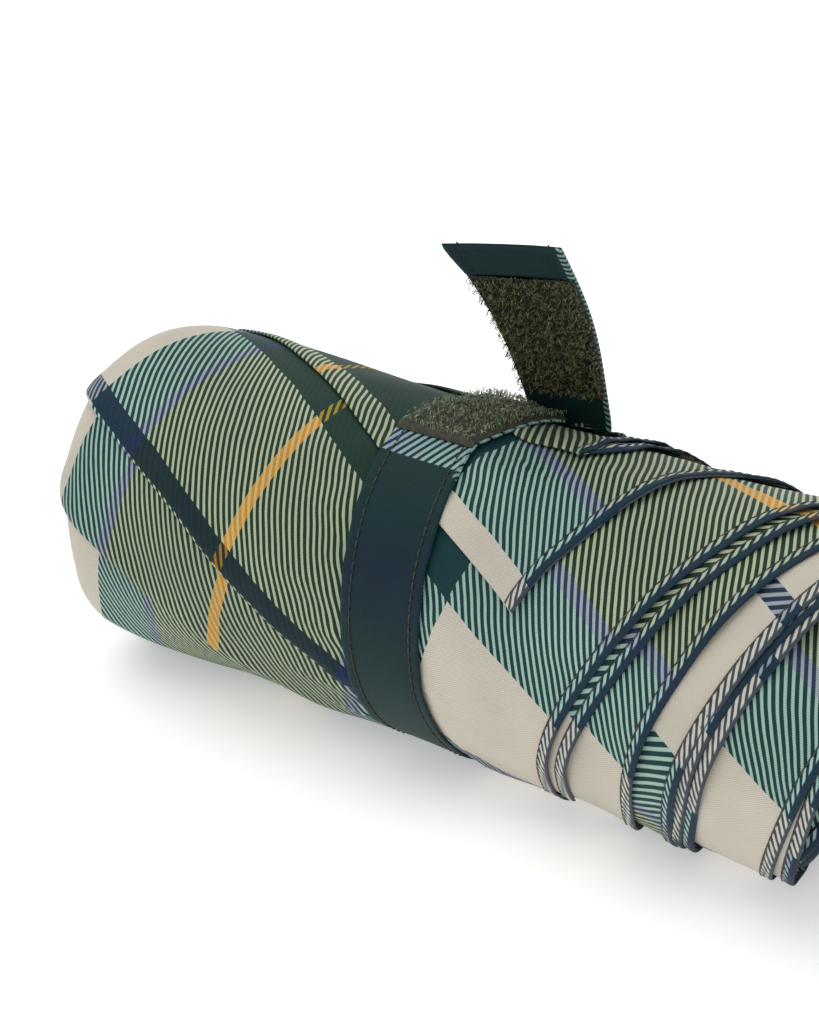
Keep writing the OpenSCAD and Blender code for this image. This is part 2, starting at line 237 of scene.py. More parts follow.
def tartan():
    """Cloth printed with a tartan. Where two colours cross, they alternate in slanting lines."""
    m = Shader("tartan_cloth", roughness=0.6, specular=0.16, sheen=0.03)
    u, v = m.uv()
    wobble = m.math("MULTIPLY_ADD", m.noise(90, 2), 0.0012, -0.0006)
    first, second = print_colours(m, m.math("ADD", u, wobble), m.math("ADD", v, wobble))
    across = m.math("SUBTRACT", u, m.math("MULTIPLY", v, TWILL))
    sway = m.math("MULTIPLY_ADD", m.noise(38, 2), 0.0042, -0.0021)
    darker = m.math("SUBTRACT", m.grey(first), m.grey(second))
    lines = m.clamp(m.math("ADD", m.waves(m.math("ADD", across, sway), 0.00294, 2.2), darker))
    printed = m.mix(lines, first, second)
    weave = m.clamp(m.waves(m.math("ADD", u, v), 0.00062, 0.5))
    shade = m.ramp(weave, [(0.0, (228, 228, 228)), (1.0, (255, 255, 255))])
    fade = m.ramp(m.noise(35, 4), [(0.3, (232, 232, 234)), (0.7, (255, 255, 253))])
    height = m.math("ADD", m.math("MULTIPLY", weave, 0.5), m.math("MULTIPLY", m.noise(600, 2), 0.6))
    m.bump(height, 0.35, 0.00012)
    return m.colour(m.mix(1.0, m.mix(1.0, printed, shade, "MULTIPLY"), fade, "MULTIPLY"))


def hem_cloth():
    """The panels' hem: cloth folded over on itself, so that its lines show as a row of dashes."""
    m = Shader("tartan_hem", roughness=0.6, specular=0.16, sheen=0.03)
    along, across = m.uv()
    first, second = print_colours(m, *m.uv("print"))
    pale = m.mix(1.0, m.mix(1.0, first, second, "LIGHTEN"), linear((236, 242, 246)), "MULTIPLY")
    darker = m.mix(1.0, first, second, "DARKEN")
    dark = m.mix(0.94, darker, linear((22, 43, 60)))
    place = m.math("SUBTRACT", along, m.math("MULTIPLY", across, 0.0046))
    dash = m.clamp(m.waves(place, 0.0027, 1.6))
    plain = m.clamp(m.math("MULTIPLY", m.grey(darker), 2.0))
    reach = m.math("MULTIPLY_ADD", plain, 0.3, across)
    rim = m.clamp(m.math("MULTIPLY", m.math("SUBTRACT", reach, 0.36), 8.0))
    seam = m.clamp(m.math("MULTIPLY", m.math("SUBTRACT", 0.9, across), 9.0))
    share = m.math("MULTIPLY", dash, m.math("MULTIPLY", rim, seam))
    weave = m.clamp(m.waves(m.math("ADD", along, m.math("MULTIPLY", across, 0.003)), 0.0006, 0.5))
    m.bump(weave, 0.3, 0.00012)
    return m.colour(m.mix(share, dark, pale))


def strap_cloth():
    """The strap's cloth, cut from the tartan's dark part. v runs along it from its fixed end."""
    m = Shader("strap_cloth", roughness=0.6, specular=0.18, sheen=0.05)
    across, along = m.uv()
    share = m.math("DIVIDE", along, 0.28)
    base = m.ramp(share, [(0.10, (12, 50, 51)), (0.17, (12, 48, 51)), (0.22, (14, 40, 57)),
                          (0.27, (14, 48, 51)), (0.6, (16, 50, 42)), (1.0, (10, 44, 46))])
    lines = m.clamp(m.waves(m.math("ADD", across, m.math("MULTIPLY", along, 0.55)), 0.0019, 2.5))
    end = m.ramp(share, [(0.0, (255, 255, 255)), (0.122, (0, 0, 0))], True)
    pale = m.ramp(m.math("MULTIPLY_ADD", across, 50.0, 0.5), [(0.1, (158, 174, 202)), (0.5, (158, 194, 190))])
    edge = m.clamp(m.math("MULTIPLY", m.math("SUBTRACT", across, 0.0088), 3000.0))
    free = m.ramp(share, [(0.0, (255, 255, 255)), (0.13, (0, 0, 0)), (0.84, (255, 255, 255))], True)
    dash = m.clamp(m.waves(m.math("ADD", along, m.math("MULTIPLY", across, 0.9)), 0.0017, 2.0))
    trim = m.math("MULTIPLY", m.math("MULTIPLY", edge, free), dash)
    printed = m.mix(m.math("MULTIPLY", lines, end), base, pale)
    printed = m.mix(trim, printed, linear((132, 164, 156)))
    grid = m.math("ADD", m.waves(across, 0.0007, 0.25), m.waves(along, 0.0007, 0.25))
    m.bump(grid, 0.4, 0.00012)
    fade = m.ramp(m.noise(60, 4), [(0.3, (226, 228, 230)), (0.7, (255, 255, 255))])
    shade = m.ramp(m.math("MULTIPLY", grid, 0.66), [(0.0, (196, 196, 196)), (1.0, (255, 255, 255))])
    return m.colour(m.mix(1.0, m.mix(1.0, printed, shade, "MULTIPLY"), fade, "MULTIPLY"))


def thread(name, colour, pale, roughness=0.6):
    """Yarn or filament, with a change of colour from place to place. On the loop pile the pale speckle is
    painted highlight on the curls; on the hook pile it is partly the hooks' own paler tone and partly painted
    highlight.
    """
    m = Shader(name, roughness=roughness, specular=0.4)
    m.bump(m.noise(2500, 2), 0.3, 0.0001)
    return m.colour(m.ramp(m.noise(900, 2), [(0.38, colour), (0.66, pale)]))


def moulded(name, colour, roughness=0.45, grain=900, depth=0.00006):
    """Moulded plastic or rubber with a fine grain, and slightly paler where it has been handled."""
    m = Shader(name, roughness=roughness, specular=0.45)
    paler = tuple(min(255, c * 1.18 + 6) for c in colour)
    m.bump(m.noise(grain, 4), 0.35, depth)
    rough = m.ramp(m.noise(60, 3), [(0.3, (145, 145, 145)), (0.7, (178, 178, 178))])
    m.put(m.surface.inputs["Roughness"], rough)
    return m.colour(m.ramp(m.noise(70, 5), [(0.35, colour), (0.7, paler)]))


def metal(name, colour, roughness, drawn=0.0):
    """Steel. drawn is how far fine lines along the shaft show, as on drawn tube and rolled channel."""
    m = Shader(name, roughness=roughness, metallic=1.0)
    stretch = m.nodes.new("ShaderNodeMapping")
    stretch.inputs["Scale"].default_value = (8, 900, 900)
    m.links.new(m.place(), stretch.inputs["Vector"])
    lines = m.noise(1.0, 3, stretch.outputs[0])
    darker = tuple(c * (0.92 - 0.2 * drawn) for c in colour)
    grey = [255 * roughness * 0.9, 255 * min(1, roughness * 1.5)]
    m.put(m.surface.inputs["Roughness"], m.ramp(lines, [(0.3, (grey[0],) * 3), (0.7, (grey[1],) * 3)]))
    m.bump(lines, 0.15 + 0.3 * drawn, 0.00005)
    return m.colour(m.ramp(lines, [(0.3, darker), (0.7, colour)]))


# ---------------------------------------------------------------- meshes

def make_mesh(name, points, faces, materials, uv=None, printed=None, smooth_faces=True):
    """A mesh object from points in millimetres. uv and printed hold one (u, v) in metres for each point."""
    mesh = bpy.data.meshes.new(name)
    mesh.from_pydata((np.asarray(points) * MM).tolist(), [], [list(map(int, f)) for f in faces])
    for material in materials:
        mesh.materials.append(material)
    corners = np.empty(len(mesh.loops), dtype=np.int64)
    mesh.loops.foreach_get("vertex_index", corners)
    for layer_name, values in (("cloth", uv), ("print", printed)):
        if values is not None:
            layer = mesh.uv_layers.new(name=layer_name)
            layer.data.foreach_set("uv", np.asarray(values)[corners].astype(np.float32).ravel())
    if smooth_faces:
        mesh.shade_smooth()
    mesh.validate()
    obj = bpy.data.objects.new(name, mesh)
    bpy.context.scene.collection.objects.link(obj)
    return obj


def grid_faces(rows, columns, around=False, start=0):
    """Quads of a grid of points stored row by row. around joins the last column to the first."""
    i, j = np.meshgrid(np.arange(rows - 1), np.arange(columns if around else columns - 1), indexing="ij")
    k = (j + 1) % columns
    a, b, c, d = i * columns + j, i * columns + k, (i + 1) * columns + k, (i + 1) * columns + j
    return np.stack([a, b, c, d], -1).reshape(-1, 4) + start


def closed_strip(rows, around):
    """Faces of a closed tube, with its two ends."""
    faces = grid_faces(rows, around, around=True).tolist()
    return faces + [list(range(around))[::-1], [(rows - 1) * around + k for k in range(around)]]


def tubes(paths, radius, sides=3):
    """Points and faces of many thin closed tubes. paths is (tubes, points, 3)."""
    paths = np.asarray(paths)
    count, length, _ = paths.shape
    ahead = np.gradient(paths, axis=1)
    ahead /= np.linalg.norm(ahead, axis=-1, keepdims=True) + 1e-9
    helper = np.where(np.abs(ahead[..., :1]) < 0.9, np.array([1.0, 0, 0]), np.array([0, 1.0, 0]))
    one = np.cross(ahead, helper)
    one /= np.linalg.norm(one, axis=-1, keepdims=True) + 1e-9
    two = np.cross(ahead, one)
    angle = 2 * math.pi * np.arange(sides) / sides
    ring = one[:, :, None] * np.cos(angle)[:, None] + two[:, :, None] * np.sin(angle)[:, None]
    radius = np.broadcast_to(np.asarray(radius, dtype=float), (count, length))
    points = (paths[:, :, None] + ring * radius[:, :, None, None]).reshape(-1, 3)
    side = grid_faces(length, sides, around=True)
    each = length * sides
    faces = (side[None] + (np.arange(count) * each)[:, None, None]).reshape(-1, 4).tolist()
    for k in range(count):
        faces.append([k * each + j for j in range(sides)][::-1])
        faces.append([k * each + each - sides + j for j in range(sides)])
    return points, faces


# ---------------------------------------------------------------- shape of the roll

SLOPE = math.radians(33)        # of the creases, from the shaft, on the unrolled roll
ACROSS = np.array([-math.sin(SLOPE), math.cos(SLOPE)])
CREASES = np.array([76.0, 103.5, 150.2, 173.0, 198.0, 222.0, 243.0, 262.0])   # place of each crease, across
PERIOD = TURN * ACROSS[1]
LAYER = 0.7                     # from one panel to the next one below it
FOLD_GAP = 0.32                 # between the two layers of one folded panel
SHOULDER = CAP_LOW[0] + 10      # where the crown's rounding starts
BULGE_X, BULGE_R, BULGE_LEN = 12.5, 15.0, 21.7
DISH_X, DISH_R, DISH_LEN = 6.5, 12.6, 14.2
BAGGY = math.radians(122)       # where round the roll the crown stands out furthest
CROWN_LEN = BULGE_LEN + DISH_LEN
HEM_END = COLLAR_LOW[0] + 6     # where every hem ends, beside the rib tips
STRAP_W = 20.0
BAND_START, BAND_TURN, BAND_END = (math.radians(a) for a in (64, 104, 418.6))
SEAM_AT = 7.6                   # of the strap's stitches, from its middle line
STRAP_TURN_X = BAND_LOW[0] + STRAP_W / 2
STRAP_DRIFT = 22.0              # along the shaft in one turn
FIXED_DRIFT = 8.0


def strap_x(phi):
    """The strap's middle, at the angle phi in radians from its fixed end to its free end."""
    drift = STRAP_DRIFT * (phi - BAND_TURN) / (2 * math.pi) + 1.4
    fixed = FIXED_DRIFT * (BAND_TURN - phi) / (BAND_TURN - BAND_START) + 1.4
    bend = math.radians(5)
    blend = smooth((phi - BAND_TURN + bend) / (2 * bend))
    return STRAP_TURN_X + drift * blend + fixed * (1 - blend)


def creases_passed(p):
    """Counts the creases up to the place p across the unrolled roll, and the share of the way to the next."""
    turns = np.floor((p - CREASES[0]) / PERIOD)
    ends = np.append(CREASES, CREASES[0] + PERIOD)
    return 8 * turns + np.interp(p - turns * PERIOD, ends, np.arange(1, 10))


def crown_profile(x):
    """Place along the shaft and radius of the roll where the unrolled cloth is at x."""
    t = np.clip(SHOULDER - x, 0, CROWN_LEN)
    bulge = np.clip(t / BULGE_LEN, 0, 1) * math.pi / 2
    dish = np.clip((t - BULGE_LEN) / DISH_LEN, 0, 1)
    place = np.where(t > 0, SHOULDER - BULGE_X * np.sin(bulge) + DISH_X * dish ** 1.6, x)
    return place, ROLL_R - BULGE_R * (1 - np.cos(bulge)) - DISH_R * dish


def crown_slack(x, phi, depth):
    """How far the crown stands out past its mean place: more on one side, and most at each crease."""
    baggy = np.exp(-((np.mod(phi - BAGGY + math.pi, 2 * math.pi) - math.pi) / 0.95) ** 2)
    crease = np.exp(-np.abs(depth) / 9)
    return (4.2 * baggy + 1.6 * crease) * smooth((SHOULDER + 24 - x) / 34)


def ripple(x, phi):
    """Slight unevenness of a roll wound by hand, the same through all its layers."""
    waves = ((0.30, 2, 0.050, 0.4), (0.22, 3, -0.083, 2.1), (0.16, 5, 0.121, 4.0), (0.10, 9, -0.170, 1.2))
    return sum(size * np.sin(turns * phi + rate * x + start) for size, turns, rate, start in waves)


def puckers(x, phi):
    """Small gathers that run out from under the strap."""
    front = np.mod(phi - BAND_TURN, 2 * math.pi) + BAND_TURN
    off = np.abs(x - strap_x(front)) - STRAP_W / 2
    size = 0.42 * np.exp(-np.clip(off, 0, None) / 16) * smooth((off + 2) / 5)
    lines = np.sin(17 * phi + 0.11 * x) + 0.6 * np.sin(28 * phi - 0.19 * x + 1.3)
    squeeze = 0.9 * (1 - smooth((off + 2) / 6))
    return size * lines - squeeze


def roll_height(x, phi, below):
    """Radius of the cloth at the unrolled place x, that many panels below the outermost one."""
    place, radius = crown_profile(x)
    near = np.clip(radius / ROLL_R, 0.25, 1)
    full = 3.6 * smooth((x + 22) / 62)
    deep = LAYER * below + 2.0 * np.clip(below - 5, 0, None) ** 1.6 * smooth((x - 10) / 35)
    return place, radius + full - deep * near + (ripple(x, phi) + puckers(x, phi)) * near


def on_floor(points, below):
    """Flattens what would sink into the floor, keeping the layers' order."""
    least = 0.30 + 0.2 * np.clip(below, 0, 8)
    over = points[..., 2] - least
    points[..., 2] = least + (over + np.sqrt(over ** 2 + 0.25)) / 2
    return points


PRINT_LEAN = math.radians(15)   # of the printed lines that cross the creases, from straight round the roll
PRINT_SHARE = 0.77              # their spacing on the roll, as a share of that in the flat cloth
GATHERED_FROM, GATHER = -110.0, 0.25    # the cloth is drawn together towards the crown


class Flap:
    """The part of one canopy panel that is folded in two and wound round the roll.

    depth is how far a point is from the crease, across the unrolled roll: it is above 0 on the outer
    layer, and below 0 on the inner one.

    corner_x is where the hem meets the crease, slant how soon the hem leaves that corner along the shaft,
    and late how long it waits before it makes for the handle. inner is how far the inner layer stands out
    past the outer one. pull is how far the corner is drawn round the roll, and over what length. shift is
    the print's place on the panel, turned its step at the fold, and crown its extra step at the crown."""

    def __init__(self, index, corner_x, slant=0.0, inner=6.0, shift=(0.0, 0.0), turned=0.0, crown=(0.0, 0.0),
                 pull=(0.0, 18.0), late=1):
        self.index = index
        self.crease = CREASES[index - 1]
        self.corner_x = corner_x
        self.slant = slant
        self.inner = inner
        self.shift = shift
        self.turned = turned
        self.crown = crown
        self.pull = pull
        self.late = late
        self.deep = 225.0
        before = CREASES[index - 2] if index > 1 else CREASES[-1] - PERIOD
        self.shown = self.crease - before + 16
        self.corner_phi = (self.crease + corner_x * math.sin(SLOPE)) / ACROSS[1] / ROLL_R

    def phi(self, depth, x):
        return (self.crease - np.abs(depth) + x * math.sin(SLOPE)) / ACROSS[1] / ROLL_R

    def hem_x(self, depth):
        """Where the hem crosses the line at that depth, found by halving."""
        depth, where = distinct(depth)
        low, high = np.full_like(depth, self.corner_x - 1), np.full_like(depth, HEM_END + 30)
        for _ in range(24):
            x = (low + high) / 2
            off = np.degrees(self.corner_phi - self.phi(depth, x))
            slant = self.slant * (1 - np.exp(-np.clip(off, 0, None) / 65))
            rise = (HEM_END - self.corner_x - self.slant) * smooth(off / 320) ** self.late + slant
            wave = 0.5 * np.sin(off / 13 + 2 * self.index) * smooth(off / 20) * (1 - smooth(off / 300))
            past = x > self.corner_x + rise + wave
            low, high = np.where(past, low, x), np.where(past, x, high)
        extra = self.inner * smooth(-depth / 14) * (1 - smooth((-depth - 110) / 90))
        return ((low + high) / 2 + extra)[where]

    def covered(self, depth, x):
        """How far this place is inside the hem of the panels above it: 0 or less where it is in view."""
        p = self.crease - np.abs(depth)
        most = np.full(np.shape(depth), -9.0)
        for above in FLAPS[:self.index - 1] + FLAPS[self.index:]:
            deep = above.crease - p - (PERIOD if above.index > self.index else 0)
            inside = above.hem_x(np.clip(deep, 0, None)) - x
            most = np.where((deep > 1) & (inside > most), inside, most)
        return most

    def fold(self, depth):
        """What the fold adds to the radius: its two layers part there, swell a little and are rounded off."""
        away = np.abs(depth)
        round_off = 0.5 * FOLD_GAP * (1 - np.sqrt(1 - np.clip(1 - away / 0.6, 0, 1) ** 2))
        swell = 0.5 * np.exp(-((away - 2.2) / 2.6) ** 2)
        return np.where(depth >= 0, swell - round_off, 0.5 * swell - FOLD_GAP + round_off)

    def lift(self, depth, x, phi):
        """How far the cloth stands off beside its hem, where no other panel holds it down."""
        rows, where = distinct(depth)
        hem = self.hem_x(rows)
        free = (1 - smooth(self.covered(rows, hem) / 4 + 1))[where]
        edge = np.clip(hem[where] - x, 0, None)
        return 0.6 * np.exp(-edge / 5) * (1.2 + np.sin(phi * 7 + self.index)) * free

    def points(self, depth, x):
        """Points of the cloth, in the frame."""
        phi = self.phi(depth, x)
        p = self.crease - np.abs(depth)
        below = self.index - creases_passed(p)
        amount, run = self.pull
        pull = amount * smooth((x - self.corner_x + run) / run) * np.exp(-(depth / 26) ** 2)
        phi = phi - pull / ROLL_R
        place, radius = roll_height(x, phi, below)
        place = place - crown_slack(x, phi, depth)
        radius = radius + self.fold(depth) + self.lift(depth, x, phi)
        return on_floor(polar(place, phi, radius), below + np.where(depth >= 0, 0, 0.4))

    def uv(self, depth, x):
        """The flat cloth's own place, in metres: v goes on across the fold."""
        s = self.phi(depth, x) * ROLL_R
        gathered = x - GATHER * np.clip(GATHERED_FROM - x, 0, None)
        q = (gathered * math.cos(PRINT_LEAN) + s * math.sin(PRINT_LEAN)) / PRINT_SHARE
        v = self.crease - depth + np.where(depth < 0, self.turned, 0.0)
        crown = smooth((-40 - x) / 70)
        q = q + self.shift[0] + self.crown[0] * crown
        v = v + self.shift[1] + self.crown[1] * crown
        return np.stack([q, v], -1) * MM


# How far in from the hem each row of a panel has its points, before they spread out evenly to the crown
HEM_STEPS = np.array([0, 0.5, 1.2, 2.0, 3.0, 4.2, 6, 8, 10.5, 13.5, 17, 21, 25.5, 30, 35, 40, 45])
LONG_COLUMNS = 64
INNER_SHOWN = 6.0


def flap_rows(flap):
    """The depths at which a panel has its rows of points, closest together beside the crease."""
    near = np.array([0.12, 0.3, 0.6, 1.0, 1.6, 2.4, 3.4, 4.6, 6.0])
    middle = np.arange(8.0, flap.shown + 2, 2.0)
    deep = np.arange(middle[-1] + 3.6, flap.deep, 3.6)
    outer = np.concatenate([[0], near, middle, deep])
    inner = np.concatenate([near, np.arange(9.0, flap.deep - 15, 3.6)])
    return np.concatenate([-inner[::-1], outer])


def flap_columns(hem):
    """Places along the shaft of the points in each row, from the crown to the hem."""
    start = SHOULDER - CROWN_LEN
    t = (np.arange(LONG_COLUMNS) / LONG_COLUMNS)[None, :]
    spread = start + (hem[:, None] - HEM_STEPS[-1] - start) * t
    return np.concatenate([spread, hem[:, None] - HEM_STEPS[::-1][None, :]], axis=1)


def flap_faces(flap, depths, columns):
    """The faces that may be in view: whole rows near the crease, and deeper in only those beside the hem."""
    faces = grid_faces(len(depths), columns)
    row, column = faces[:, 0] // columns, faces[:, 0] % columns
    reach = np.maximum(np.abs(depths[row]), np.abs(depths[row + 1]))
    inner = depths[row] < 0
    whole = np.where(inner, reach <= INNER_SHOWN, reach <= flap.shown + 2)
    return faces[whole | (column >= np.where(inner, LONG_COLUMNS + 6, LONG_COLUMNS))]


def make_flap(flap, materials):
    depths = flap_rows(flap)
    x = flap_columns(flap.hem_x(depths))
    depth = np.broadcast_to(depths[:, None], x.shape)
    points = flap.points(depth, x).reshape(-1, 3)
    uv = flap.uv(depth, x).reshape(-1, 2)
    used, where = np.unique(flap_faces(flap, depths, x.shape[1]), return_inverse=True)
    faces = where.reshape(-1, 4)
    obj = make_mesh(f"panel_{flap.index}", points[used], faces[:, ::-1], materials, uv[used])
    solid = obj.modifiers.new("thickness", "SOLIDIFY")
    solid.thickness = 0.14 * MM
    solid.offset = -1
    a, b, c, d = (points[used][faces[:, k]] for k in range(4))
    area = np.linalg.norm(np.cross(c - a, d - b), axis=1).sum() / 2
    return obj, area * MM * MM


def hem_line(flap, side):
    """The hem's path at an even spacing, as depths on the outer (side 1) or inner (side -1) layer."""
    dense = side * np.linspace(0.0 if side > 0 else 2.0, flap.deep - 16, 1200)
    edge = flap.points(dense, flap.hem_x(dense))
    length = np.concatenate([[0], np.cumsum(np.linalg.norm(np.diff(edge, axis=0), axis=1))])
    return dense, length


def hem_runs(flap, depth):
    """The stretches of a hem that are in view, each going on a little under what covers it."""
    seen = flap.covered(depth, flap.hem_x(depth)) < 5
    edges = np.flatnonzero(np.diff(np.concatenate([[0], seen.astype(int), [0]])))
    return [slice(a, b) for a, b in zip(edges[::2], edges[1::2]) if b - a > 4]


def hem_frame(flap, depth, inset):
    """Points on the cloth at a distance in from the hem, with the surface's outward direction there."""
    hem = flap.hem_x(depth)
    here = flap.points(depth, hem - inset)
    inward = flap.points(depth, hem - inset - 0.4) - here
    beside = flap.points(depth + 0.4, flap.hem_x(depth + 0.4) - inset) - here
    out = np.cross(inward, beside)
    out /= np.linalg.norm(out, axis=-1, keepdims=True) + 1e-9
    radial = here * [0, 1, 1] - [0, 0, AXIS_H]
    out *= np.sign((out * radial).sum(-1, keepdims=True))
    return here, out


STITCH_PITCH = 2.4
HEM_W = 2.4
# The hem's cross-section: how far in from the cloth's edge, and how far out of its surface
HEM_PROFILE = np.array([[-0.28, 0.02], [-0.2, 0.22], [0.1, 0.34], [0.8, 0.4], [1.4, 0.36], [2.05, 0.34],
                        [2.32, 0.24], [2.4, 0.02], [1.4, -0.12], [0.1, -0.2], [-0.2, -0.14]])


def hem_rings(flap, along, depth):
    """The hem's cross-section at each place along it, puckered a little by its stitches."""
    rings = []
    for inset, height in HEM_PROFILE:
        here, out = hem_frame(flap, depth, inset)
        pull = 1 + 0.18 * np.sin(2 * math.pi * along / STITCH_PITCH) * (height > 0.2)
        rings.append(here + out * (height * pull)[:, None])
    return np.stack(rings, 1)


def make_hem(flap, side, material):
    """The folded edge, as a flat tube round the cloth's own edge, in the stretches that are in view."""
    dense, length = hem_line(flap, side)
    along = np.arange(0.4, length[-1], STITCH_PITCH / 2)
    depth = np.interp(along, length, dense * side) * side
    rings = hem_rings(flap, along, depth)
    across = np.clip(HEM_PROFILE[:, 0] / HEM_W, 0, 1)
    hem = flap.hem_x(depth)
    points, faces, uv, printed = [], [], [], []
    for run in hem_runs(flap, depth):
        start = sum(len(x) for x in points)
        strip = closed_strip(run.stop - run.start, len(HEM_PROFILE))
        faces += [[start + k for k in face] for face in strip]
        points.append(rings[run].reshape(-1, 3))
        uv.append(np.stack(np.broadcast_arrays(along[run, None] * MM, across[None, :]), -1).reshape(-1, 2))
        printed.append(np.repeat(flap.uv(depth[run], hem[run]), len(HEM_PROFILE), axis=0))
    name = f"hem_{flap.index}_{'outer' if side > 0 else 'inner'}"
    points, uv, printed = (np.concatenate(parts) for parts in (points, uv, printed))
    return make_mesh(name, points, faces, [material], uv, printed)


def dashes(centre, ahead, out, length, radius):
    """Stitches: short arched threads that lie along a seam."""
    t = np.array([-0.5, -0.3, 0.0, 0.3, 0.5])
    rise = np.array([-0.6, 0.5, 0.9, 0.5, -0.6]) * radius
    along, up = (t * length)[None, :, None], rise[None, :, None]
    return tubes(centre[:, None] + ahead[:, None] * along + out[:, None] * up, radius, sides=5)


def make_stitches(name, lines, material, length=1.75, radius=0.14):
    """lines is a list of (points, outward directions) along each seam, one stitch apart."""
    points, faces = [], []
    for centre, out in lines:
        ahead = np.gradient(centre, axis=0)
        ahead /= np.linalg.norm(ahead, axis=-1, keepdims=True)
        p, f = dashes(centre, ahead, out, length, radius)
        start = sum(len(x) for x in points)
        points.append(p)
        faces += [[start + k for k in face] for face in f]
    return make_mesh(name, np.concatenate(points), faces, [material])


def hem_seam(flap, side):
    dense, length = hem_line(flap, side)
    along = np.arange(1.5, length[-1], STITCH_PITCH)
    depth = np.interp(along, length, dense * side) * side
    depth = depth[flap.covered(depth, flap.hem_x(depth)) < 3]
    here, out = hem_frame(flap, depth, HEM_W - 0.35)
    return here + out * 0.3, out


# ---------------------------------------------------------------- closure strap

def strap_surface(phi, w):
    """Radius of the roll under the strap at w from the strap's middle, where the strap lies on it."""
    x = strap_x(phi) + w
    _, radius = roll_height(x, phi, 0.0)
    sag = 0.12 * np.sin(5 * phi + 0.3 * w) * np.abs(w) / 10
    return x, radius + 0.38 + sag


# The strap's cross-section, across and out: two thick hemmed edges, each with a groove under its stitches
STRAP_PROFILE = np.array([[-10, 0.2], [-9.9, 0.62], [-9.2, 0.78], [-8.2, 0.8], [-7.6, 0.66], [-7.0, 0.74],
                          [-4, 0.7], [0, 0.68], [4, 0.7], [7.0, 0.74], [7.6, 0.66], [8.2, 0.8], [9.2, 0.78],
                          [9.9, 0.62], [10, 0.2], [9.6, 0.0], [5, 0.0], [0, 0.0], [-5, 0.0], [-9.6, 0.0]])


def make_band(material):
    phi = np.linspace(BAND_START + 0.03, BAND_END - 0.02, 170)[:, None]
    w, height = STRAP_PROFILE[None, :, 0], STRAP_PROFILE[None, :, 1]
    x, radius = strap_surface(phi, w)
    points = on_floor(polar(x, phi, radius + height), -1.2 + height)
    uv = np.stack([w + 0 * phi, (phi - BAND_START) * ROLL_R + 0 * w], -1) * MM
    faces = closed_strip(*points.shape[:2])
    return make_mesh("strap", points.reshape(-1, 3), faces, [material], uv.reshape(-1, 2))


def band_seams():
    lines = []
    arc = np.arange(BAND_START + 0.08, BAND_END - 0.05, STITCH_PITCH / (ROLL_R + 1))
    for w in (-SEAM_AT, SEAM_AT):
        x, radius = strap_surface(arc, w)
        centre = on_floor(polar(x, arc, radius + 0.76), -0.6 + 0 * arc)
        lines.append((centre, polar(0 * arc, arc, 1.0) - [0, 0, AXIS_H]))
    return lines


# The strap's free end: l runs along it from where it leaves the roll, w across it
TAB_LEN = 62.0
HINGE_AT, KNEE_AT = 5.0, 33.5   # where its two joints are
LOOP_FROM, LOOP_TO = 9.0, 50.0
SPLIT_AT = 19.0                 # between its two pieces
TAB_T = 0.9
FLAP_FOLD = 12.0                # of cloth turned over at its tip
TAB_X = (TAB_LOW[0] + TAB_HIGH[0]) / 2


def tab_edge(root, slope, turn, stretch):
    """Place (y, z from the shaft) along one edge of the free end, as it curls over by turn from slope."""
    l = np.linspace(-3, TAB_LEN + 2, 400)
    angle = np.radians(slope + turn * smooth((l - 4) / 54) - 25 * smooth((2.5 - l) / 6))
    step = stretch * (l[1] - l[0]) * np.stack([np.cos(angle), np.sin(angle)], -1)
    place = np.cumsum(step, axis=0)
    return l, place + root - [np.interp(0, l, place[:, 0]), np.interp(0, l, place[:, 1])]


TAB_LEFT = tab_edge(np.array([19.6, 33.7]), 115.5, 17.0, 1.02)
TAB_RIGHT = tab_edge(np.array([20.7, 35.4]), 109.5, 17.0, 0.95)


def tab_ruled(l, w):
    """A point of the free end's middle layer. Its two edges curl differently, so it is a little twisted."""
    share = (w + 10) / 20
    sides = [np.stack([np.interp(l, e[0], e[1][:, 0]), np.interp(l, e[0], e[1][:, 1])], -1)
             for e in (TAB_LEFT, TAB_RIGHT)]
    place = sides[0] * (1 - share)[..., None] + sides[1] * share[..., None]
    flare = 1 + 0.10 * smooth(l / 40) + np.where(w < 0, 0.10, 0.0) * smooth((l - 47) / 12)
    cup = -0.45 * ((w / 10) ** 2 - 0.5) * smooth(l / 20)
    return np.stack([TAB_X + w * flare, place[..., 0], AXIS_H + place[..., 1] + cup], -1)


def tab_points(l, w, height):
    """Points of the free end. height is towards its front, which carries the loops."""
    l, w, height = np.broadcast_arrays(np.asarray(l, float), np.asarray(w, float), np.asarray(height, float))
    here = tab_ruled(l, w)
    front = np.cross(tab_ruled(l, w + 0.5) - here, tab_ruled(l + 0.5, w) - here)
    front /= np.linalg.norm(front, axis=-1, keepdims=True)
    return here + front * height[..., None]


def tab_frame(l, w, height):
    here = tab_points(l, w, height)
    front = tab_points(l, w, height + 0.5) - here
    return here, front / np.linalg.norm(front, axis=-1, keepdims=True)


def tab_piece(name, l0, l1, material, fold=False):
    """A length of the free end. Its profile is the strap's, turned so that its seams show in front."""
    l = np.linspace(l0, l1, max(12, int((l1 - l0) / 1.2)))[:, None]
    w = STRAP_PROFILE[None, :, 0]
    height = (STRAP_PROFILE[None, :, 1] - 0.4) * TAB_T / 0.8
    thick = 1.0 + (0.9 * smooth((l - TAB_LEN + FLAP_FOLD) / 0.6) if fold else 0.0 * l)
    end = 1 - 0.8 * smooth((l - TAB_LEN + 0.8) / 0.8) if fold else 1.0 + 0.0 * l
    points = tab_points(l, w, np.where(height > 0, height * thick, height) * end)
    uv = np.stack([w + 0 * l, 250 + l + 0 * w], -1) * MM
    faces = closed_strip(*points.shape[:2])
    return make_mesh(name, points.reshape(-1, 3), faces, [material], uv.reshape(-1, 2))


def tab_seams(l0, l1):
    lines = []
    l = np.arange(l0 + 1.0, l1 - 0.6, STITCH_PITCH)
    for w in (-SEAM_AT, SEAM_AT):
        back, out = tab_frame(l, w + 0 * l, -0.5)
        lines.append((back, -out))
    return lines


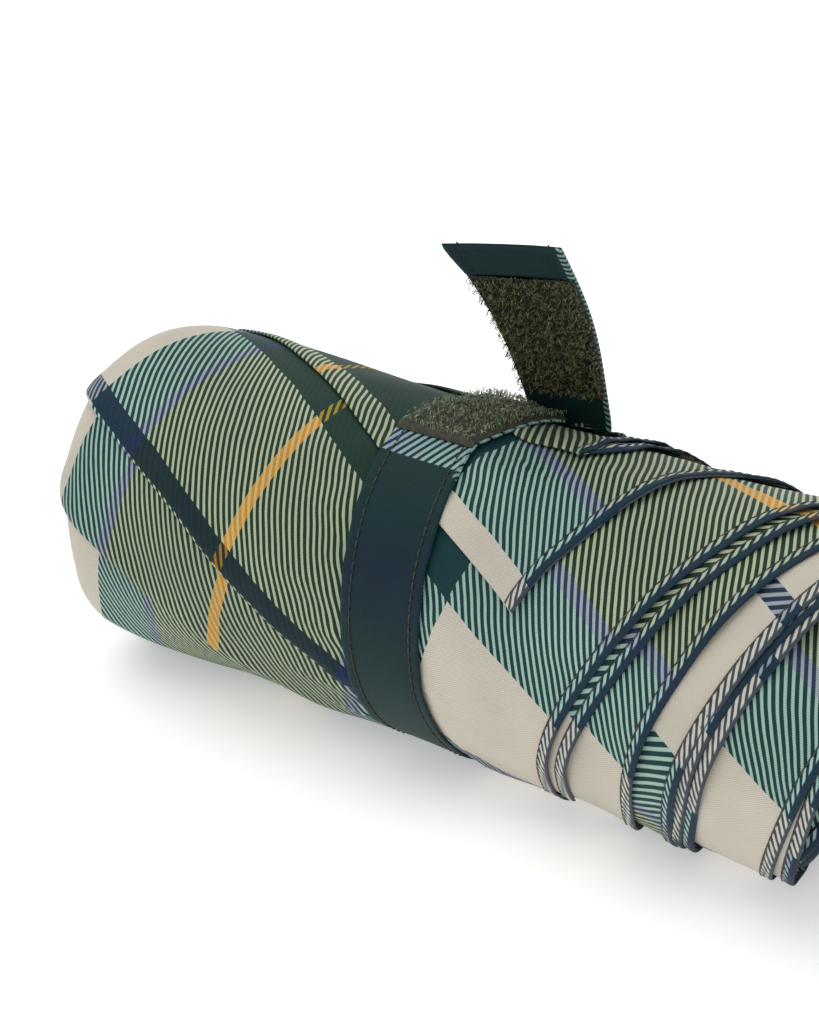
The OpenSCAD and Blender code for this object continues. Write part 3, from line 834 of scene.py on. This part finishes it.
def tape_base(name, corner, rows, material):
    """A rounded slab of woven tape. corner gives a point from shares of its length and width."""
    a = np.linspace(0, 1, rows)[:, None]
    profile = np.array([[0.0, 0.0], [0.005, 0.35], [0.05, 0.5], [0.3, 0.5], [0.5, 0.5], [0.7, 0.5],
                        [0.95, 0.5], [0.995, 0.35], [1.0, 0.0]])
    b, h = profile[None, :, 0], profile[None, :, 1]
    points = corner(a + 0 * b, b + 0 * a, h + 0 * a)
    faces = closed_strip(*points.shape[:2])
    return make_mesh(name, points.reshape(-1, 3), faces, [material])


def filaments(place, across, along, height, radius, path):
    """Thin filaments on an uneven grid of across by along, each turned its own way. path(t) gives how far
    each point stands out and how far it has gone sideways, as shares of the height."""
    a, b = np.meshgrid((np.arange(along) + 0.5) / along, (np.arange(across) + 0.5) / across)
    a = (a + (RANDOM.random(a.shape) - 0.5) * 0.9 / along).ravel()
    b = (b + (RANDOM.random(b.shape) - 0.5) * 0.9 / across).ravel()
    base, out = place(a, b)
    count = len(a)
    one = np.cross(out, [1.0, 0.2, 0.1])
    one /= np.linalg.norm(one, axis=-1, keepdims=True)
    two = np.cross(out, one)
    turn = RANDOM.random(count) * 2 * math.pi
    side = one * np.cos(turn)[:, None] + two * np.sin(turn)[:, None]
    lean = (RANDOM.random((count, 3)) - 0.5) * 0.6
    tall = height * (0.75 + 0.5 * RANDOM.random(count))[:, None, None]
    rise, go = path(np.linspace(0, 1, 8))
    rise, go = rise[None, :, None], go[None, :, None]
    paths = base[:, None] + (out[:, None] * rise + side[:, None] * go + lean[:, None] * rise) * tall
    return tubes(paths, radius, 3)


def hook_path(t):
    """A stem that curls over at its end, like a walking stick."""
    curl = np.clip(t - 0.4, 0, None) / 0.6 * math.radians(220)
    return np.minimum(t / 0.4, 1) * 0.68 + 0.3 * np.sin(curl), 0.3 * (1 - np.cos(curl))


def loop_path(t):
    """A curl that goes up and comes back down beside its root."""
    turn = t * math.radians(330)
    return 0.5 - 0.5 * np.cos(turn) * (1 - 0.3 * t), 0.55 * np.sin(turn * 0.8) + 0.25 * t


# ---------------------------------------------------------------- making the pieces

TARTAN = tartan()
HEM = hem_cloth()
STRAP = strap_cloth()
SEAM = thread("seam_thread", STITCH, (92, 74, 50))
STRAP_SEAM = thread("strap_thread", (44, 44, 28), (70, 68, 44))
HOOK_TAPE = thread("hook_tape", (44, 46, 36), (66, 66, 54))
# the hook pile's pale stop is partly the hooks' own paler tone and partly painted highlight on their curls
HOOK_PILE_TONE_AND_GLINTS = thread("hook_pile_tone_and_glints", (54, 66, 40), (172, 184, 150), 0.3)
LOOP_TAPE = thread("loop_tape", (16, 18, 8), (30, 31, 18))
# the loop pile's pale stop is painted highlight: a speckle of light on the dark curls
LOOP_PILE_PAINTED_GLINTS = thread("loop_pile_painted_glints", (22, 25, 9), (128, 132, 92), 0.35)

FLAPS = [
    Flap(1, -27.5, slant=6.0, inner=4.2, shift=(26.0, 0.0), pull=(9.0, 18.0)),
    Flap(2, -24.5, slant=15.0, inner=0.3, shift=(19.5, 13.6), pull=(3.6, 44.0)),
    Flap(3, -18.2, slant=0.0, inner=3.8, shift=(0.0, 0.0), turned=-10.0),
    Flap(4, -9.0, slant=16.0, inner=8.4, shift=(-2.6, 5.0), turned=63.0, late=2),
    Flap(5, -10.0, slant=28.0, inner=2.4, shift=(-20.0, 27.5), crown=(-2.0, -42.0), late=3),
    Flap(6, -4.0, slant=38.0, inner=4.0, shift=(-20.0, 27.5), late=3),
    Flap(7, -34.0, slant=20.0, inner=4.0, shift=(12.0, -6.0)),
    Flap(8, -38.0, slant=20.0, inner=4.0, shift=(-6.0, 12.0)),
]


def make_canopy():
    for flap in FLAPS:
        panel, area = make_flap(flap, [TARTAN])
        hems = [make_hem(flap, side, HEM) for side in (1, -1)]
        seams = make_stitches(f"hem_stitches_{flap.index}", [hem_seam(flap, side) for side in (1, -1)], SEAM)
        for piece in (panel, *hems, seams):
            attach(piece, "canopy")
        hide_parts(f"gore_{flap.index}")


def make_strap():
    band = make_band(STRAP)
    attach(band, "canopy")
    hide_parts("strap_band")
    seams = make_stitches("strap_stitches", band_seams(), STRAP_SEAM, 1.9, 0.16)
    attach(seams, "canopy")


HOOK_ARC = BAND_TURN + math.radians(1.5) - BAND_START


def hook_place(a, b, h=0.0):
    phi = BAND_START + HOOK_ARC * a
    w = (b - 0.5) * (STRAP_W - 0.6)
    x, radius = strap_surface(phi, w)
    return polar(x, phi, radius + 0.78 + h)


def make_hooks():
    tape = tape_base("hook_tape", lambda a, b, h: hook_place(a, b, h * 0.8), 26, HOOK_TAPE)

    def root(a, b):
        base = hook_place(a * 0.95 + 0.01, 0.03 + 0.94 * b, 0.35)
        return base, hook_place(a * 0.95 + 0.01, 0.03 + 0.94 * b, 1.35) - base

    points, faces = filaments(root, 24, 34, 1.25, 0.085, hook_path)
    pile = make_mesh("hook_pile_tone_and_glints", points, faces, [HOOK_PILE_TONE_AND_GLINTS])
    for piece in (tape, pile):
        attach(piece, "canopy")
    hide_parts("hook_patch")


def tab_at(l):
    """A point on the free end's middle line, in metres, in the frame."""
    return tuple((tab_points(np.array(l), np.array(0.0), np.array(0.0)) * MM).tolist())


def make_loops(name, l0, l1):
    """A length of the loop tape on the free end's front, with its pile."""
    def place(a, b, h):
        return tab_points(l0 + (l1 - l0) * a, (b - 0.5) * (STRAP_W - 0.6), 0.42 + h)

    def root(a, b):
        return tab_frame(l0 + (l1 - l0) * a, (b - 0.5) * (STRAP_W - 0.7), 0.75)

    tape = tape_base(f"loop_tape_{name}", place, 20, LOOP_TAPE)
    points, faces = filaments(root, 28, round((l1 - l0) / 0.72), 1.4, 0.08, loop_path)
    return tape, make_mesh(f"loop_pile_painted_glints_{name}", points, faces, [LOOP_PILE_PAINTED_GLINTS])


def make_tab():
    lower = tab_piece("tab_lower", -2.6, SPLIT_AT, STRAP)
    upper = tab_piece("tab_upper", SPLIT_AT, TAB_LEN, STRAP, fold=True)
    lower_seam = make_stitches("tab_stitches_lower", tab_seams(-1, SPLIT_AT), STRAP_SEAM, 1.9, 0.16)
    upper_seam = make_stitches("tab_stitches_upper", tab_seams(SPLIT_AT, TAB_LEN), STRAP_SEAM, 1.9, 0.16)
    low_tape, low_pile = make_loops("lower", LOOP_FROM, SPLIT_AT)
    high_tape, high_pile = make_loops("upper", SPLIT_AT, LOOP_TO)
    for piece in (lower, lower_seam, low_tape, low_pile):
        tab_at(1.5)
        tab_at(HINGE_AT + 3.5)
        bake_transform(piece)
    for piece in (upper, upper_seam, high_tape, high_pile):
        tab_at(SPLIT_AT + 1)
        tab_at(2 * KNEE_AT - SPLIT_AT - 1)
        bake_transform(piece)
    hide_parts("tab_root")
    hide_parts("tab_tip")
    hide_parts("loop_patch_root")
    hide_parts("loop_patch_tip")


def finish_nodes():
    """Gives every node of the frame that stays in view a finish of its own."""
    plastic = moulded("moulded_plastic", (24, 30, 32))
    collar = moulded("collar_plastic", (20, 26, 28), grain=1400)
    rubber = moulded("grip_rubber", (18, 38, 40), grain=420, depth=0.00015)
    tube = metal("tube_steel", (205, 207, 206), 0.16)
    rib = metal("rib_steel", (150, 154, 156), 0.36, drawn=1.0)
    wire = metal("wire_steel", (186, 188, 188), 0.28, drawn=0.5)
    dark = metal("rib_wire", (112, 116, 118), 0.4, drawn=0.6)
    finish = {
        "top_cap": plastic, "crown": plastic, "runner": plastic, "rib_tips": plastic, "handle_collar": collar,
        "handle_grip": rubber, "handle_end_cap": plastic, "outer_tube": tube, "middle_tube": tube,
        "inner_tube": tube, "top_catch": wire, "pivot_wires": wire, "link_wires": wire, "rivets": wire,
    }
    for name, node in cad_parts.items():
        if name.startswith(("top_rib", "stretcher", "middle_rib")):
            material = rib
        elif name.startswith("outer_rib"):
            material = dark
        elif name in finish:
            material = finish[name]
        else:
            continue
        node.data.materials.clear()
        node.data.materials.append(material)


# ---------------------------------------------------------------- studio

def floor_material():
    m = Shader("floor", roughness=0.9, specular=0.1)
    m.surface.inputs["Emission Color"].default_value = (1, 1, 1, 1)
    m.surface.inputs["Emission Strength"].default_value = 0.34
    return m.colour(m.ramp(m.noise(3, 2), [(0.3, (244, 244, 244)), (0.7, (247, 247, 247))]))


def soft_sun(name, place, spread, strength):
    """Even light from a wide patch of sky in the direction of place, as from a large softbox."""
    light = bpy.data.lights.new(name, "SUN")
    light.angle = math.radians(spread)
    light.energy = strength
    obj = bpy.data.objects.new(name, light)
    obj.location = place
    bpy.context.scene.collection.objects.link(obj)
    look_at(obj, (0, 0, 0))


def look_at(obj, aim):
    direction = Vector(aim) - obj.location
    obj.rotation_euler = direction.to_track_quat("-Z", "Y").to_euler()


def make_floor():
    reach = 30000
    corners = np.array([[-reach, -reach, 0], [reach, -reach, 0], [reach, reach, 0], [-reach, reach, 0]])
    floor = make_mesh("floor", corners, [[0, 1, 2, 3]], [floor_material()], smooth_faces=False)


def make_sky():
    """Pale all round, and brightest low down."""
    world = bpy.data.worlds.new("studio")
    world.use_nodes = True
    nodes, links = world.node_tree.nodes, world.node_tree.links
    height = nodes.new("ShaderNodeSeparateXYZ")
    links.new(nodes.new("ShaderNodeTexCoord").outputs["Generated"], height.inputs[0])
    ramp = nodes.new("ShaderNodeValToRGB")
    ramp.color_ramp.elements[0].color = (0.96, 0.96, 0.96, 1)
    ramp.color_ramp.elements[1].position = 0.3
    ramp.color_ramp.elements[1].color = (0.7, 0.7, 0.7, 1)
    links.new(height.outputs[2], ramp.inputs[0])
    links.new(ramp.outputs[0], nodes["Background"].inputs[0])
    bpy.context.scene.world = world


def make_camera():
    camera = bpy.data.cameras.new("camera")
    camera.sensor_width = 36
    camera.lens = 78.6
    camera.clip_start = 0.01
    obj = bpy.data.objects.new("camera", camera)
    obj.location = (0.1696, -0.3720, 0.2978)
    bpy.context.scene.collection.objects.link(obj)
    look_at(obj, (-0.0732, 0.0013, 0.0489))
    bpy.context.scene.camera = obj
    bpy.context.scene.view_settings.view_transform = "Standard"


make_floor()
make_sky()
soft_sun("key", (-0.25, 0.22, 1.0), 80, 1.2)
soft_sun("front", (0.15, -0.9, 0.9), 60, 0.2)
make_camera()
finish_nodes()
make_canopy()
make_strap()
make_hooks()
make_tab()

bpy.context.view_layer.update()
